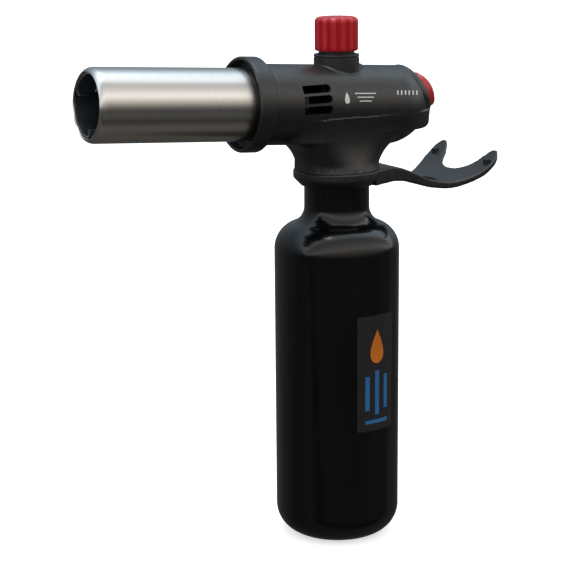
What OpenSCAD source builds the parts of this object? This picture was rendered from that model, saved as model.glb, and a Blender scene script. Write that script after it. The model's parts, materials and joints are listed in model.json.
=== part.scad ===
// Hand-held butane torch: a refillable gas canister with a clamped-on burner head.
// The base stands on z = 0, the canister axis is Z, and the burner points along -X.
// The barrel of the head rises towards the burner; the knob stays parallel to the canister.

/* [Canister] */
// Outer radius of the canister
can_r = 25; // [22:0.5:30]
// Radius of the rounded edge at the foot
foot_round = 11.5; // [8:0.5:12]
// Height where the straight wall turns into the shoulder
wall_top = 118.5; // [90:0.5:119]
// Radius of the convex shoulder
shoulder_r = 11; // [9:0.5:12]
// Outer radius of the neck
neck_r = 13; // [12.5:0.1:13.2]
// Thickness of the aluminium wall
can_wall = 1.2; // [0.8:0.1:1.6]

/* [Stand] */
// Radius of the stand's ring around the neck
ring_r = 17.3; // [17:0.1:18]
// Reach of the two feet behind the canister axis
foot_x = 61.5; // [56:0.5:64]
// Sideways offset of each foot
foot_y = 19.7; // [18:0.1:21]
// Thickness of the fork
fork_t = 2.4; // [2:0.1:3]

/* [Head] */
// Height of the barrel axis where it crosses the canister axis
axis_z = 175.8; // [175:0.1:177]
// Upward tilt of the barrel, degrees
head_tilt = 3.6; // [3:0.1:4]
// Outer radius of the barrel
barrel_r = 15.6; // [15.4:0.1:15.8]
// Thickness of the moulded housing wall
shell_t = 1.5; // [1.4:0.1:1.6]
// Half width of the skirt above the stand's ring
skirt_r = 16.8; // [16.5:0.1:17]

/* [Burner] */
// Outer radius of the burner tube
tube_r = 14; // [13.5:0.1:14.1]
// Distance from the canister axis to the mouth of the burner
mouth_s = 107; // [95:1:115]
// Thickness of the tube wall
tube_wall = 0.6; // [0.5:0.1:1]
// Outer radius of the front collar
collar_r = 18.3; // [17.8:0.1:19]

/* [Controls] */
// Radius of the gas knob
knob_r = 8.5; // [8:0.1:8.8]
// Height of the gas knob
knob_h = 13.2; // [12:0.1:15]
// Number of raised lands round the knob
knob_lands = 14; // [10:1:18]
// Radius of the igniter button
button_r = 7.7; // [7:0.1:7.8]
// Travel of the igniter button
button_travel = 3.5; // [2.5:0.5:4]
// Slope of the igniter button in the head, degrees
button_slope = 29; // [28:1:30]

/* [Hidden] */

round_fn = 96;      // facets asked of every turned surface
fit = 0.05;         // radial play of a part that turns or slides in another
face_gap = 0.1;     // gap between faces that slide past each other
button_play = 0.25;  // gap round the igniter button

// Canister
neck_fillet = 7;
foot_flat_r = can_r - foot_round;
dome_r = 12.4;
dome_h = 5;
dome_sphere = (dome_r * dome_r + dome_h * dome_h) / (2 * dome_h);
valve_hole_r = 4.2;
seat_z = 146;
seat_r = 12.4;
neck_bore = 11;
mouth_z = 157;
shoulder_dx = can_r - shoulder_r - neck_r - neck_fillet;
shoulder_dz = sqrt(pow(shoulder_r + neck_fillet, 2) - shoulder_dx * shoulder_dx);
neck_z = wall_top + shoulder_dz;
shoulder_a = atan2(shoulder_dz, -shoulder_dx);

// Stand
ring_top = 150.3;
ring_bevel_z = 147.3;
ring_base = 144.1;
washer_sink = 0.5;
arm_top = [[10, 150.3], [17, 150.3], [24, 149.8], [31, 147.3], [38, 143.9], [45, 143],
    [52, 145.2], [59, 149.6], [66, 156.6], [70, 162]];
arm_thick = [[0, 6.2], [17, 6], [24, 5.6], [32, 4.2], [40, 2.9], [48, fork_t], [80, fork_t]];
arm_plan = [[0, 17.2], [8, 14.4], [16, 10.8], [24, 8.6], [31, 8.6], [38, 11.2], [45, 15.4],
    [52, 19.4], [57, 21.8]];
foot_round_r = 3.2;
notch_x = 69;
notch_r = 14.8;
peg_r = 1.5;
slot_x = 43.5;
slot_half = 5;
slot_r = 1.6;

// Head
skirt_z = 150.5;
skirt_top_z = 172;
skirt_hole_r = 12.55;
front_z = 152.5;
front_flare = 10.5;
front_foot = skirt_r - 0.6;
front_top = front_foot + front_flare;
waist_r = 15.1;
waist_z = 161;
rear_plan = 41.5;
plan_sides = 40;
rear_z = 151;
rear_flare = 21.5;
rear_rise = 14;
rear_corner = 2.5;
boss_r = 8.95;
boss_top_z = 195.6;
collar_s = 36.3;
collar_front_s = 43.6;
collar_bore = 16.9;
slot_z = [184.1, 180.2, 176.2];
vent_x0 = -23.4;
vent_x1 = -10.9;
vent_h = 3;
barrel_front_s = 38;
nose_x = 28;
pad_x = 38.9;
pad_z = 5.4;
pad_r = 9.2;
pad_round = 4;
screw_spots = [[-27, 9.8], [19, 9.8], [-12, -11.5], [10, -11]];
screw_seat_y = 7.5;
screw_head_r = 2;
screw_tip_y = -7;
post_r = 2.4;
screw_r = 1.1;

// Burner
lip_r = 3.3;
lip_a = 61;
tube_back_s = 30.5;
tube_neck = 0.4;     // the tube's rear end is drawn in by this much to enter the head
tube_neck_s = 43.7;
neck_tube_r = tube_r - tube_neck;
vane_r = 11.5;
vane_t = 0.5;
vane_s0 = 66;
vane_s1 = 105.8;
mixer_r = 5.5;
mixer_s0 = 17;
holder_s = 64;
holder_t = 2;
carrier_s = 33;
carrier_t = 1.5;
spark_angle = 120;
spark_r = 9;
ceramic_r = 1.8;

// Controls
knob_z = 196.8;
spindle_r = 2;
tip_r = 1.7;
knob_seat_z = knob_z + 0.6;
knob_pin_z = knob_z + 9.8;
button_h = 2.6;
piezo_back = -25;
piezo_front = -7;
piezo_r = 4.5;
plunger_r = 3.2;

// --- Outline helpers -------------------------------------------------------------------
function arc(c, r, a0, a1, n = 12) =
    [for (i = [0:n]) c + r * [cos(a0 + (a1 - a0) * i / n), sin(a0 + (a1 - a0) * i / n)]];

// One span of a smooth curve that passes through its second and third points
function span(p0, p1, p2, p3, t) =
    0.5 * (2 * p1 + (p2 - p0) * t + (2 * p0 - 5 * p1 + 4 * p2 - p3) * t * t
        + (3 * p1 - p0 - 3 * p2 + p3) * t * t * t);

function curve(p, n = 5) = concat(
    [for (i = [0:len(p) - 2]) for (j = [0:n - 1])
        span(p[max(i - 1, 0)], p[i], p[i + 1], p[min(i + 2, len(p) - 1)], j / n)],
    [p[len(p) - 1]]);

function reversed(p) = [for (i = [len(p) - 1:-1:0]) p[i]];

module turned(outline) rotate_extrude($fn = round_fn) polygon(outline);

// A plain turned ring or rod between two heights
module ring(r_in, r_out, z0, z1) {
    turned([[r_in, z0], [r_out, z0], [r_out, z1], [r_in, z1]]);
}

module rod(r, z0, z1) {
    translate([0, 0, z0])
        cylinder(r = r, h = z1 - z0, $fn = round_fn);
}

// A doughnut of round section
module o_ring(r, section, z) {
    translate([0, 0, z])
        rotate_extrude($fn = round_fn)
            translate([r, 0])
                circle(r = section, $fn = 24);
}

// Places children in the head: local x runs along the barrel towards the rear
module head_frame() {
    translate([0, 0, axis_z])
        rotate([0, head_tilt, 0])
            children();
}

// Places children so that their local z runs along the barrel towards the mouth
module on_barrel() {
    head_frame()
        rotate([0, -90, 0])
            children();
}

// Places children so that their local z runs out of the igniter button
module on_button() {
    head_frame()
        translate([pad_x, 0, pad_z])
            rotate([0, 90 - button_slope, 0])
                children();
}

// --- Canister --------------------------------------------------------------------------
function can_outline(t) = concat(
    arc([foot_flat_r, foot_round], foot_round - t, -90, 0),
    arc([can_r - shoulder_r, wall_top], shoulder_r - t, 0, shoulder_a),
    arc([neck_r + neck_fillet, neck_z], neck_fillet + t, shoulder_a + 180, 180, 8));

function dome_z(r, t) = dome_h - dome_sphere + sqrt(pow(dome_sphere + t, 2) - r * r);

dome_steps = 8;

function dome_outline(t) =
    [for (i = [0:dome_steps])
        let (r = valve_hole_r + (dome_r - valve_hole_r) * i / dome_steps) [r, dome_z(r, t)]];

module canister() {
    color([0.03, 0.03, 0.035])
        turned(concat(
            dome_outline(0),
            can_outline(0),
            [[neck_r, seat_z], [seat_r, seat_z], [seat_r, mouth_z], [neck_bore, mouth_z],
                [neck_bore, seat_z - 4], [neck_r - can_wall, seat_z - 6]],
            reversed(can_outline(can_wall)),
            reversed(dome_outline(can_wall))));
}

label_z0 = 48.3;
label_z1 = 95.2;
label_t = 0.15;
label_start = -102.7;
label_sweep = 41;

module label_panel() {
    color([0.12, 0.12, 0.13])
        rotate([0, 0, label_start])
            rotate_extrude(angle = label_sweep, $fn = round_fn)
                translate([can_r, label_z0])
                    square([label_t, label_z1 - label_z0]);
}

// --- Refill valve in the base ----------------------------------------------------------
valve_nose_z = 2.2;
valve_top_z = 16;
stem_r = 1;
stem_low_z = 1.2;

module refill_valve_body() {
    color([0.78, 0.62, 0.3])
        turned([[stem_r + fit, valve_nose_z], [3.4, valve_nose_z], [3.4, 3.6], [6, 3.6],
            [6, dome_z(6, 0) - 0.02], [valve_hole_r, dome_z(valve_hole_r, 0)],
            [valve_hole_r, valve_top_z], [stem_r, valve_top_z], [stem_r, valve_top_z - 1],
            [2.8, valve_top_z - 1], [2.8, 6.4], [stem_r + fit, 6.4]]);
}

module refill_valve_stem() {
    color([0.8, 0.8, 0.8])
        turned([[0.35, stem_low_z], [stem_r, stem_low_z], [stem_r, 8], [2.5, 8],
            [2.5, 9.2], [0.9, 9.2], [0.9, 12], [0, 12], [0, 8.6], [0.35, 8.6]]);
}

spring_wire = 0.22;
spring_r = 2;
spring_z0 = 9.2;
spring_z1 = 14.9;
spring_turns = 5;
coil_steps = 14;
coil_sides = 6;

// Points of a helical wire, one loop of sides after another
function helix_points(r, w, z0, z1, turns) =
    [for (i = [0:turns * coil_steps])
        let (a = 360 * i / coil_steps, z = z0 + w + (z1 - z0 - 2 * w) * i / (turns * coil_steps))
            for (k = [0:coil_sides - 1])
                let (b = 360 * k / coil_sides)
                    [(r + w * cos(b)) * cos(a), (r + w * cos(b)) * sin(a), z + w * sin(b)]];

function tube_faces(rings, sides) = concat(
    [[for (k = [0:sides - 1]) k]],
    [for (i = [0:rings - 2]) for (k = [0:sides - 1])
        [i * sides + k, (i + 1) * sides + k, (i + 1) * sides + (k + 1) % sides,
            i * sides + (k + 1) % sides]],
    [[for (k = [sides - 1:-1:0]) (rings - 1) * sides + k]]);

module refill_valve_spring() {
    color([0.75, 0.75, 0.78])
        polyhedron(
            helix_points(spring_r, spring_wire, spring_z0, spring_z1, spring_turns),
            tube_faces(spring_turns * coil_steps + 1, coil_sides));
}

module refill_valve_gasket() {
    color([0.08, 0.08, 0.08])
        o_ring(1.9, 0.75, 7.2);
}

// --- Stand -----------------------------------------------------------------------------
// Thickness of the arm at a distance x behind the axis
function thick_at(x) = lookup(x, arm_thick);

module arm_side() {
    top = curve(arm_top);
    rotate([90, 0, 0])
        linear_extrude(60, center = true)
            polygon(concat(top, [for (p = reversed(top)) p - [0, thick_at(p[0])]]));
}

module arm_plan_2d() {
    edge = curve(arm_plan);
    foot = [foot_x, foot_y];
    side = concat(edge, arc(foot, foot_round_r, 110, -60, 10),
        arc([notch_x, 0], notch_r, 118, 180, 14));
    polygon(concat(side, [for (p = reversed(side)) [p[0], -p[1]]]));
}

module stand_ring_and_fork() {
    color([0.09, 0.095, 0.1])
        difference() {
            union() {
                turned([[0, ring_base], [14.2, ring_base], [ring_r, ring_bevel_z],
                    [ring_r, ring_top], [0, ring_top]]);
                intersection() {
                    arm_side();
                    linear_extrude(200)
                        arm_plan_2d();
                }
            }
            rod(neck_r + fit, ring_base - 10, seat_z + fit);
            rod(seat_r + fit, ring_base - 10, ring_top + 10);
            ring(seat_r - 1, 15.5, ring_top - washer_sink, ring_top + 5);
            for (side = [-1, 1])
                translate([foot_x - 1.6, side * (foot_y - 1.4), 140])
                    cylinder(r = peg_r + fit, h = 40, $fn = round_fn);
            hull()
                for (end = [-1, 1])
                    translate([slot_x, end * slot_half, 130])
                        cylinder(r = slot_r, h = 30, $fn = 32);
        }
}

module stand_foot_pegs() {
    color([0.05, 0.05, 0.05])
        for (side = [-1, 1])
            translate([foot_x - 1.6, side * (foot_y - 1.4), 0])
                rod(peg_r, 149.2, 151.4);
}

module stand_friction_washer() {
    color([0.85, 0.85, 0.8])
        ring(seat_r + 0.2, 15.3, ring_top - washer_sink + face_gap, skirt_z - 0.02);
}

// --- Housing ---------------------------------------------------------------------------
// Side view of the skirt, from the front flare down, along the foot and up the rear; t insets it
function skirt_side(t) = concat(
    [[-front_top + t, skirt_top_z + 1]],
    arc([-front_top + t, front_z + t], front_flare, 90, 0, 8),
    [[-front_foot + t, skirt_z + t], [skirt_r - t, skirt_z + t]],
    [for (i = [0:8])
        [skirt_r - t + rear_flare * (1 - cos(90 * i / 8)), rear_z + t + rear_rise * sin(90 * i / 8)]],
    arc([skirt_r + rear_flare - t, rear_z + rear_rise + rear_corner + t], rear_corner, -60, 0, 3),
    [[skirt_r + rear_flare + rear_corner - t, skirt_top_z + 1]]);

// Plan view of the flared part of the skirt; t insets it
function skirt_plan(t) = [for (k = [0:plan_sides - 1])
    let (a = 360 * (k + 0.5) / plan_sides, c = cos(a), s = sin(a),
        reach = (c > 0 ? rear_plan : front_top + 0.5) - t)
            [sign(c) * pow(abs(c), 0.62) * reach, sign(s) * pow(abs(s), 0.75) * (waist_r - t)]];

// The flared skirt that joins the barrel to the stand's ring; t makes it smaller all round
module skirt(t = 0) {
    turned([[0, skirt_z + t], [skirt_r - t, skirt_z + t], [skirt_r - t, skirt_z + 2],
        [waist_r - t, waist_z], [waist_r - t, skirt_top_z], [0, skirt_top_z]]);
    intersection() {
        rotate([90, 0, 0])
            linear_extrude(60, center = true)
                polygon(skirt_side(t));
        translate([0, 0, skirt_z + 1])
            linear_extrude(skirt_top_z - skirt_z - 1)
                polygon(skirt_plan(t));
    }
}

// The barrel with its sloping rear pad; t makes it smaller all round
module barrel(t = 0) {
    on_barrel()
        rod(barrel_r - t, -nose_x, barrel_front_s - t);
    hull() {
        head_frame()
            translate([nose_x - 4, 0, 0])
                rotate([0, 90, 0])
                    rotate([0, 0, 180 / 56])
                        cylinder(r = barrel_r - t - 0.04, h = 4.5, $fn = 56);
        on_button()
            rotate([0, 0, 180 / 40])
                translate([0, 0, -pad_round])
                    rotate_extrude($fn = 40)
                        polygon(concat([[0, -1], [pad_r - t, -1]],
                            arc([pad_r - pad_round, 0], pad_round - t, 0, 90, 5),
                            [[0, pad_round - t]]));
    }
}

module housing_outer() {
    barrel();
    skirt();
}

module housing_cavity() {
    barrel(shell_t);
    skirt(shell_t);
}

module vents() {
    for (z = slot_z)
        translate([0, 0, z])
            rotate([90, 0, 0])
                linear_extrude(60, center = true) {
                    translate([vent_x0, -vent_h / 2])
                        square([vent_x1 - vent_x0 - vent_h / 2, vent_h]);
                    translate([vent_x1 - vent_h / 2, 0])
                        circle(r = vent_h / 2, $fn = 32);
                }
}

// Places children at each screw, with local z along +Y
module at_screws() {
    head_frame()
        for (p = screw_spots)
            translate([p[0], 0, p[1]])
                rotate([-90, 0, 0])
                    children();
}

// Material left standing in the cavity: screw posts and the igniter's cradle
module housing_ribs() {
    at_screws()
        translate([0, 0, -20])
            cylinder(r = post_r, h = 40, $fn = 32);
    on_button()
        translate([-20, -20, -20])
            cube([40, 40, 2]);
}

module housing_half(side) {
    difference() {
        intersection() {
            housing_outer();
            translate([-60, side > 0 ? 0 : -60, 140])
                cube([120, 60, 70]);
        }
        difference() {
            housing_cavity();
            housing_ribs();
        }
        vents();
        on_barrel()
            rod(neck_tube_r, tube_back_s, barrel_front_s + 5);
        rod(skirt_hole_r, skirt_z - 5, skirt_z + shell_t + 1);
        rod(boss_r, axis_z + 8, axis_z + 40);
        on_button() {
            rod(button_r + button_play, -9, 20);
            rod(piezo_r, piezo_back - 1, 0);
        }
        at_screws() {
            rod(screw_r, screw_tip_y, 30);
            rod(screw_head_r + 0.2, screw_seat_y, 30);
        }
    }
}

module housing_left() {
    color([0.17, 0.175, 0.18])
        housing_half(-1);
}

module housing_right() {
    color([0.17, 0.175, 0.18])
        housing_half(1);
}

module housing_screws() {
    color([0.6, 0.6, 0.62])
        at_screws() {
            rod(screw_r, screw_tip_y, screw_seat_y);
            difference() {
                rod(screw_head_r, screw_seat_y, screw_seat_y + 1.5);
                for (a = [0, 90])
                    rotate([0, 0, a])
                        translate([-1.2, -0.25, screw_seat_y + 0.7])
                            cube([2.4, 0.5, 2]);
            }
        }
}

sleeve_z = 184.7;

module knob_sleeve() {
    bore = knob_hub_r + 0.3;
    color([0.1, 0.1, 0.105])
        turned([[bore, sleeve_z], [boss_r + 0.8, sleeve_z], [boss_r + 0.8, sleeve_z + 1.2],
            [boss_r, sleeve_z + 1.2],
            [boss_r, boss_top_z - 1.2], [boss_r - 0.15, boss_top_z - 1.05],
            [boss_r - 0.15, boss_top_z - 0.8], [boss_r, boss_top_z - 0.65],
            [boss_r, boss_top_z - 0.25], [boss_r - 0.25, boss_top_z],
            [bore + 0.2, boss_top_z], [bore, boss_top_z - 0.2]]);
}

module front_collar() {
    back = collar_s;
    front = collar_front_s;
    floor_s = 39.4;
    color([0.15, 0.155, 0.16])
        on_barrel()
            turned([[barrel_r, back], [collar_r - 0.5, back], [collar_r, back + 0.5],
                [collar_r, front - 0.6], [collar_r - 0.2, front - 0.2], [collar_r - 0.6, front],
                [collar_bore, front], [collar_bore - 0.2, front - 0.2],
                [collar_bore - 0.2, floor_s], [neck_tube_r, floor_s],
                [neck_tube_r, barrel_front_s],
                [barrel_r, barrel_front_s]]);
}

// --- Neck and gas valve ----------------------------------------------------------------
flange_t = 1.2;
adapter_low_z = 144;
valve_low_z = 148;
valve_stem_r = 4;
nut_low_z = skirt_z + shell_t + 0.05;
nut_step_z = 154.8;

module neck_adapter() {
    color([0.78, 0.62, 0.3])
        turned([[2.2, adapter_low_z], [neck_bore - 1, adapter_low_z],
            [neck_bore, adapter_low_z + 1], [neck_bore, 153], [9.4, 153], [9.4, 154.8],
            [neck_bore, 154.8], [neck_bore, mouth_z], [seat_r - 0.1, mouth_z],
            [seat_r - 0.1, mouth_z + flange_t], [valve_stem_r, mouth_z + flange_t],
            [valve_stem_r, valve_low_z], [2.2, valve_low_z]]);
}

module neck_o_ring() {
    color([0.08, 0.08, 0.08])
        o_ring(10.2, 0.8, 153.9);
}

module neck_clamp_nut() {
    top = mouth_z + 2 * flange_t;
    color([0.75, 0.75, 0.76])
        turned([[seat_r, nut_low_z], [13.6, nut_low_z], [13.6, nut_step_z],
            [13.05, nut_step_z], [13.05, top], [8, top], [8, mouth_z + flange_t],
            [seat_r, mouth_z + flange_t]]);
}

module pickup_tube() {
    color([0.9, 0.9, 0.86])
        ring(1.3, 2.2, 72, valve_low_z);
}

module pickup_filter() {
    color([0.7, 0.66, 0.5])
        turned([[0, 66], [3, 66], [3.2, 66.3], [3.2, 76], [2.2, 76], [2.2, 72], [0, 72]]);
}

gland_r = 3.1;
gland_z = 182.4;
groove_r = 1.35;
groove_h = 1.7;
ring_section = 0.84;
valve_top_end = 187;
seat_low_z = 168;
outlet_r = 4;
outlet_s = 8.5;

module gas_valve_body() {
    color([0.78, 0.62, 0.3])
        difference() {
            union() {
                rod(valve_stem_r, valve_low_z, 162);
                rod(6.2, 161, valve_top_end);
                translate([0, 0, mouth_z + flange_t])
                    cylinder(r = 7.5, h = 4, $fn = 6);
                on_barrel()
                    rod(outlet_r, 0, outlet_s);
            }
            rod(spindle_r + fit, seat_low_z + 2.5, valve_top_end + 1);
            rod(0.9, valve_low_z - 1, seat_low_z + 3);
            rod(gland_r, gland_z, valve_top_end + 1);
            on_barrel() {
                rod(0.8, 0.5, outlet_s + 1);
                rod(1.6, 6, outlet_s + 1);
            }
        }
}

module valve_spindle() {
    groove_z = gland_z + 0.9;
    color([0.82, 0.82, 0.82])
        turned([[0, seat_low_z + 1.2], [0.85, seat_low_z + 3.4], [spindle_r - 0.4, seat_low_z + 4.4],
            [spindle_r, seat_low_z + 5], [spindle_r, groove_z], [groove_r, groove_z],
            [groove_r, groove_z + groove_h], [spindle_r, groove_z + groove_h],
            [spindle_r, knob_seat_z], [tip_r, knob_seat_z], [tip_r, knob_pin_z],
            [0, knob_pin_z]]);
}

module spindle_o_ring() {
    color([0.08, 0.08, 0.08])
        o_ring(groove_r + ring_section, ring_section, gland_z + 0.9 + groove_h / 2);
}

module packing_nut() {
    color([0.78, 0.62, 0.3])
        difference() {
            union() {
                rod(gland_r, valve_top_end - 0.9, valve_top_end);
                translate([0, 0, valve_top_end])
                    cylinder(r = 5.8, h = 3.6, $fn = 6);
            }
            rod(spindle_r + fit, valve_top_end - 2, valve_top_end + 6);
        }
}

knob_hub_r = 7;
hub_low_z = 194;

module gas_knob() {
    top = knob_z + knob_h;
    color([0.65, 0.13, 0.15])
        difference() {
            turned(concat(
                [[0, hub_low_z], [knob_hub_r, hub_low_z], [knob_hub_r, knob_z], [knob_r - 1, knob_z],
                    [knob_r, knob_z + 1]],
                arc([knob_r - 1.6, top - 1.6], 1.6, 0, 78, 8),
                [[knob_r - 2.4, top], [0, top]]));
            for (k = [0:knob_lands - 1])
                rotate([0, 0, 360 * (k + 0.5) / knob_lands])
                    translate([knob_r + 0.45, 0, knob_z - 1])
                        cylinder(r = 1.25, h = knob_h + 2, $fn = 24);
            ring(spindle_r + 2.4, knob_hub_r - 1, hub_low_z - 1, hub_low_z + 2);
            rod(spindle_r, hub_low_z - 1, knob_seat_z);
            rod(tip_r, hub_low_z, knob_pin_z);
        }
}

// --- Jet, mixer and burner -------------------------------------------------------------
module gas_pipe() {
    color([0.72, 0.45, 0.25])
        on_barrel()
            ring(0.8, 1.6, 6, 13);
}

module nozzle_holder() {
    color([0.78, 0.62, 0.3])
        on_barrel()
            difference() {
                union() {
                    rod(2.6, outlet_s, 14.2);
                    translate([0, 0, 10])
                        cylinder(r = 4, h = 2.6, $fn = 6);
                }
                rod(1.6, outlet_s - 1, 13);
                rod(1.2, 12, 15);
            }
}

module jet_nozzle() {
    color([0.85, 0.72, 0.4])
        on_barrel()
            turned([[0.15, 13], [1.2, 13], [1.2, 14.2], [2, 14.2], [2, 15], [1, 16.6],
                [0.15, 16.6]]);
}

module mixing_tube() {
    wall = 0.6;
    color([0.7, 0.7, 0.7])
        on_barrel()
            turned([[7, mixer_s0], [7 + wall, mixer_s0], [mixer_r, mixer_s0 + 7],
                [mixer_r, holder_s + holder_t + 1], [mixer_r - wall, holder_s + holder_t + 1],
                [mixer_r - wall, mixer_s0 + 7]]);
}

// A disc across the burner tube, pierced round the mixing tube and for the spark lead
hole_gap = 36;

module pierced_disc(s, thickness, rim_r, holes, hole_r, hole_at) {
    difference() {
        ring(mixer_r, rim_r, s, s + thickness);
        for (k = [0:holes - 1])
            rotate([0, 0, spark_angle + hole_gap + (360 - 2 * hole_gap) * k / (holes - 1)])
                translate([hole_at, 0, s - 1])
                    cylinder(r = hole_r, h = thickness + 2, $fn = 24);
        rotate([0, 0, spark_angle])
            translate([spark_r, 0, s - 1])
                cylinder(r = ceramic_r, h = thickness + 2, $fn = 32);
    }
}

module tube_carrier() {
    color([0.6, 0.6, 0.6])
        on_barrel()
            pierced_disc(carrier_s, carrier_t, neck_tube_r - tube_wall, 5, 2.2, 9.2);
}

module flame_holder() {
    color([0.5, 0.5, 0.5])
        on_barrel()
            pierced_disc(holder_s, holder_t, tube_r - tube_wall, 10, 1.1, 9.2);
}

module burner_tube() {
    end = [tube_r - lip_r, mouth_s - lip_r];
    color([0.75, 0.74, 0.72])
        on_barrel()
            turned(concat(
                [[neck_tube_r - tube_wall, tube_back_s], [neck_tube_r, tube_back_s],
                    [neck_tube_r, tube_neck_s], [tube_r, tube_neck_s]],
                arc(end, lip_r, 0, lip_a, 10),
                arc(end, lip_r - tube_wall, lip_a, 0, 10),
                [[tube_r - tube_wall, tube_neck_s + tube_wall],
                    [neck_tube_r - tube_wall, tube_neck_s + tube_wall]]));
}

// A strip of even thickness along a row of points
function strip(p, t) =
    let (n = len(p), side = [for (i = [0:n - 1])
        let (d = p[min(i + 1, n - 1)] - p[max(i - 1, 0)]) [-d[1], d[0]] / norm(d) * t / 2])
            concat([for (i = [0:n - 1]) p[i] + side[i]],
                [for (i = [n - 1:-1:0]) p[i] - side[i]]);

vane_sweep = 100;
vane_bend_r = 1.6;
vane_fold = 1.5;
vane_angle = 61;

module flame_vanes() {
    bend = [vane_r - vane_bend_r, 0];
    path = concat(arc([0, 0], vane_r + 0.3, -vane_sweep, -vane_sweep / 2, 8),
        arc([0, 0], vane_r, -vane_sweep / 2 + 8, -6, 8),
        arc(bend, vane_bend_r, 0, 90, 6),
        [[vane_r - vane_bend_r - vane_fold, vane_bend_r]]);
    color([0.45, 0.47, 0.47])
        on_barrel()
            for (k = [0:2])
                rotate([0, 0, vane_angle + 120 * k])
                    translate([0, 0, vane_s0])
                        linear_extrude(vane_s1 - vane_s0)
                            polygon(strip(path, vane_t));
}

// --- Ignition --------------------------------------------------------------------------
electrode_s = [30, 72];
ceramic_s = [28, 61];
lead_r = 0.7;
lead_end = [16.8, 0.6, -6.8];
lead_route = [[-27.9, 7.8, -4.5], [-25, 8, -4.7], [-20, 9.2, -5], [-12, 10.2, -5.3],
    [-4, 10.4, -5.5], [3, 9.6, -5.8], [9, 6.8, -6.2], [13, 3.4, -6.8], lead_end];

module at_spark() {
    on_barrel()
        rotate([0, 0, spark_angle])
            translate([spark_r, 0, 0])
                children();
}

module electrode() {
    color([0.6, 0.6, 0.62])
        at_spark() {
            rod(0.6, electrode_s[0], electrode_s[1]);
            translate([0, 0, electrode_s[1]])
                rotate([0, -60, 0])
                    cylinder(r = 0.6, h = 3, $fn = 32);
        }
}

module electrode_insulator() {
    color([0.93, 0.92, 0.88])
        at_spark()
            difference() {
                rod(ceramic_r, ceramic_s[0], ceramic_s[1]);
                rod(0.6, electrode_s[0], ceramic_s[1] + 1);
            }
}

lead_sides = 8;

// Rings of points round a smooth route, square to it
function sweep_points(p, r, sides) =
    [for (i = [0:len(p) - 1])
        let (d = p[min(i + 1, len(p) - 1)] - p[max(i - 1, 0)], w = d / norm(d),
            u0 = cross(w, [0, 0, 1]), u = u0 / norm(u0), v = cross(w, u))
                for (k = [0:sides - 1])
                    p[i] + r * (cos(360 * k / sides) * u + sin(360 * k / sides) * v)];

module ignition_lead() {
    route = curve(lead_route, 4);
    color([0.08, 0.08, 0.09])
        head_frame()
            polyhedron(sweep_points(route, lead_r, lead_sides),
                tube_faces(len(route), lead_sides));
}

module piezo_igniter() {
    stroke_floor = piezo_front - 2 - button_travel - 0.5;
    color([0.1, 0.1, 0.1])
        on_button()
            turned([[0, piezo_back], [piezo_r, piezo_back], [piezo_r, piezo_front],
                [plunger_r + fit, piezo_front], [plunger_r + fit, stroke_floor],
                [0, stroke_floor]]);
}

module piezo_plunger() {
    color([0.85, 0.83, 0.78])
        on_button()
            rod(plunger_r, piezo_front - 2, -2);
}

module igniter_button() {
    dome = (button_r * button_r + button_h * button_h) / (2 * button_h);
    dome_a = asin((button_r - 0.5) / dome);
    color([0.78, 0.2, 0.22])
        on_button()
            turned(concat(
                [[0, -2], [plunger_r + 0.6, -2], [button_r - 1.1, -2], [button_r - 1.1, -4.5],
                    [button_r, -4.5], [button_r, 0]],
                arc([0, button_h - dome], dome, 90 - dome_a, 90, 12)));
}

canister();
label_panel();
refill_valve_body();
refill_valve_stem();
refill_valve_spring();
refill_valve_gasket();
stand_ring_and_fork();
stand_foot_pegs();
stand_friction_washer();
housing_left();
housing_right();
housing_screws();
knob_sleeve();
front_collar();
neck_adapter();
neck_clamp_nut();
neck_o_ring();
pickup_tube();
pickup_filter();
gas_valve_body();
valve_spindle();
spindle_o_ring();
packing_nut();
gas_knob();
gas_pipe();
nozzle_holder();
jet_nozzle();
mixing_tube();
tube_carrier();
flame_holder();
burner_tube();
flame_vanes();
electrode();
electrode_insulator();
ignition_lead();
piezo_igniter();
piezo_plunger();
igniter_button();
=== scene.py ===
import json
import math

import bmesh
import bpy
import numpy as np
from mathutils import Matrix, Vector


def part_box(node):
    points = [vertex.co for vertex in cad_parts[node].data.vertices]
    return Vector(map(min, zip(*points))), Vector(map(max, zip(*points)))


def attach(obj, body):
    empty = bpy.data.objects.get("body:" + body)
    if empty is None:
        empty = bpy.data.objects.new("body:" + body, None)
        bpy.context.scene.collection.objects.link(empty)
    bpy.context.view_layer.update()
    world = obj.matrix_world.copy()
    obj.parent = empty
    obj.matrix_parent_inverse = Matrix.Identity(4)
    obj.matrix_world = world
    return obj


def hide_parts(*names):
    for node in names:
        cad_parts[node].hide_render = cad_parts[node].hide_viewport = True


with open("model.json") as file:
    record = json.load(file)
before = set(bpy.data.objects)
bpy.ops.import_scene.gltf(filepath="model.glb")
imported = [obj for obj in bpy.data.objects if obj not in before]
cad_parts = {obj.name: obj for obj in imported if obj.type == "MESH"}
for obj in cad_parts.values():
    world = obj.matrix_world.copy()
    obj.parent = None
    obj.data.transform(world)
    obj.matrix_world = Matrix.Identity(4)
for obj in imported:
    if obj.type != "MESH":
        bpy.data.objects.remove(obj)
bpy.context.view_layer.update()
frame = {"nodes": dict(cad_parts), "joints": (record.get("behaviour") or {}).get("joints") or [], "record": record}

# Lengths below are in millimetres unless a name says otherwise
MM = 0.001
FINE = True
SEGMENTS = 160 if FINE else 96


# --- The frame's own measures ------------------------------------------------------------
def mount(name):
    return next(m for m in frame["record"]["mounts"] if m["name"] == name)


def joint(name):
    return next(j for j in frame["joints"] if j["name"] == name)


def low(node):
    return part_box(node)[0] / MM


def high(node):
    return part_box(node)[1] / MM


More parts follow.
